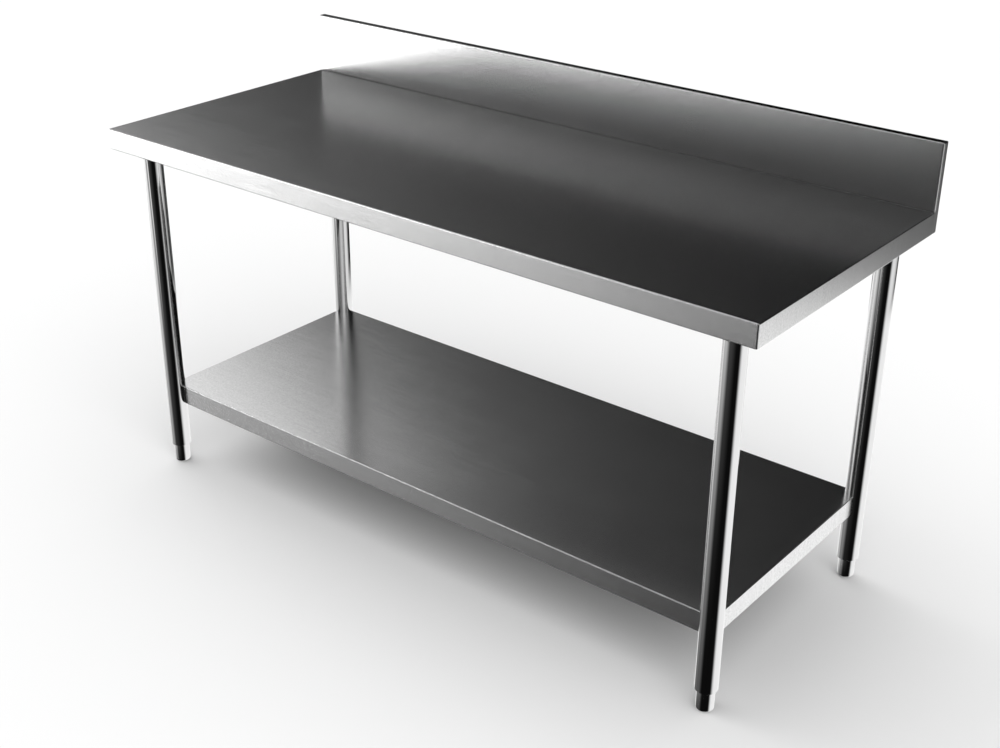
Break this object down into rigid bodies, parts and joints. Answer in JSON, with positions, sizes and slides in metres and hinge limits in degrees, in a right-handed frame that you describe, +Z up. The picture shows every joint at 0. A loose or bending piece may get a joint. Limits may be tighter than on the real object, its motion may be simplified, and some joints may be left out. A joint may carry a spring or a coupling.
{
  "type": "work table",
  "caption": "Stainless steel work table with a folded top, rear splashback, round tube legs, a full undershelf and screw levelling feet.",
  "frame": {"origin": "on the floor, under the middle of the overall bounding box", "axes": "+X along the length towards the right-hand end as seen from the working side, +Y from the working side towards the splashback, +Z up"},
  "size_m": [1.8, 0.75, 1.068],
  "materials": {
    "satin_stainless": "fine brushed satin sheet",
    "polished_tube": "polished stainless tube",
    "polished_foot": "polished turned stainless",
    "channel_stainless": "mill finish sheet",
    "cast_aluminium": "cast, tumbled",
    "plated_fastener": "plain stainless fastener",
    "nylon_glide": "black nylon"
  },
  "bodies": {
    "table": {"worktop_skin": "satin_stainless", "splash_end_cap_left": "satin_stainless", "splash_end_cap_right": "satin_stainless", "socket_channel_left": "channel_stainless", "socket_channel_right": "channel_stainless", "long_channel_front": "channel_stainless", "long_channel_rear": "channel_stainless", "socket_bolts": "plated_fastener", "socket_nuts": "plated_fastener", "socket_set_screws": "plated_fastener", "undershelf": "satin_stainless", "shelf_channel": "channel_stainless", "shelf_bolts": "plated_fastener", "shelf_washers": "plated_fastener", "leg_rivnuts": "plated_fastener", "leg_socket_front_left": "cast_aluminium", "leg_socket_front_right": "cast_aluminium", "leg_socket_rear_left": "cast_aluminium", "leg_socket_rear_right": "cast_aluminium", "leg_front_left": "polished_tube", "leg_front_right": "polished_tube", "leg_rear_left": "polished_tube", "leg_rear_right": "polished_tube", "foot_insert_front_left": "cast_aluminium", "foot_insert_front_right": "cast_aluminium", "foot_insert_rear_left": "cast_aluminium", "foot_insert_rear_right": "cast_aluminium", "shelf_saddle_front_left": "satin_stainless", "shelf_saddle_front_right": "satin_stainless", "shelf_saddle_rear_left": "satin_stainless", "shelf_saddle_rear_right": "satin_stainless"},
    "front_left_glide": {"foot_glide_front_left": "nylon_glide"},
    "front_left_foot": {"foot_barrel_front_left": "polished_foot", "foot_stud_front_left": "plated_fastener"},
    "front_right_glide": {"foot_glide_front_right": "nylon_glide"},
    "front_right_foot": {"foot_barrel_front_right": "polished_foot", "foot_stud_front_right": "plated_fastener"},
    "rear_left_glide": {"foot_glide_rear_left": "nylon_glide"},
    "rear_left_foot": {"foot_barrel_rear_left": "polished_foot", "foot_stud_rear_left": "plated_fastener"},
    "rear_right_glide": {"foot_glide_rear_right": "nylon_glide"},
    "rear_right_foot": {"foot_barrel_rear_right": "polished_foot", "foot_stud_rear_right": "plated_fastener"}
  },
  "joints": [
    {"name": "front_left_foot_height", "type": "slide", "parent": "table", "child": "front_left_glide", "axis": [0, 0, -1], "range_m": [-0.018, 0.012]},
    {"name": "front_left_foot_turn", "type": "hinge", "parent": "front_left_glide", "child": "front_left_foot", "pos_m": [-0.8225, -0.312, 0], "axis": [0, 0, -1], "range_deg": [-3240, 2160]},
    {"name": "front_right_foot_height", "type": "slide", "parent": "table", "child": "front_right_glide", "axis": [0, 0, -1], "range_m": [-0.018, 0.012]},
    {"name": "front_right_foot_turn", "type": "hinge", "parent": "front_right_glide", "child": "front_right_foot", "pos_m": [0.8225, -0.312, 0], "axis": [0, 0, -1], "range_deg": [-3240, 2160]},
    {"name": "rear_left_foot_height", "type": "slide", "parent": "table", "child": "rear_left_glide", "axis": [0, 0, -1], "range_m": [-0.018, 0.012]},
    {"name": "rear_left_foot_turn", "type": "hinge", "parent": "rear_left_glide", "child": "rear_left_foot", "pos_m": [-0.8225, 0.321, 0], "axis": [0, 0, -1], "range_deg": [-3240, 2160]},
    {"name": "rear_right_foot_height", "type": "slide", "parent": "table", "child": "rear_right_glide", "axis": [0, 0, -1], "range_m": [-0.018, 0.012]},
    {"name": "rear_right_foot_turn", "type": "hinge", "parent": "rear_right_glide", "child": "rear_right_foot", "pos_m": [0.8225, 0.321, 0], "axis": [0, 0, -1], "range_deg": [-3240, 2160]}
  ],
  "couplings": [
    {"joint": "front_left_foot_height", "follows": "front_left_foot_turn", "m_per_rad": 0.00031831},
    {"joint": "front_right_foot_height", "follows": "front_right_foot_turn", "m_per_rad": 0.00031831},
    {"joint": "rear_left_foot_height", "follows": "rear_left_foot_turn", "m_per_rad": 0.00031831},
    {"joint": "rear_right_foot_height", "follows": "rear_right_foot_turn", "m_per_rad": 0.00031831}
  ]
}
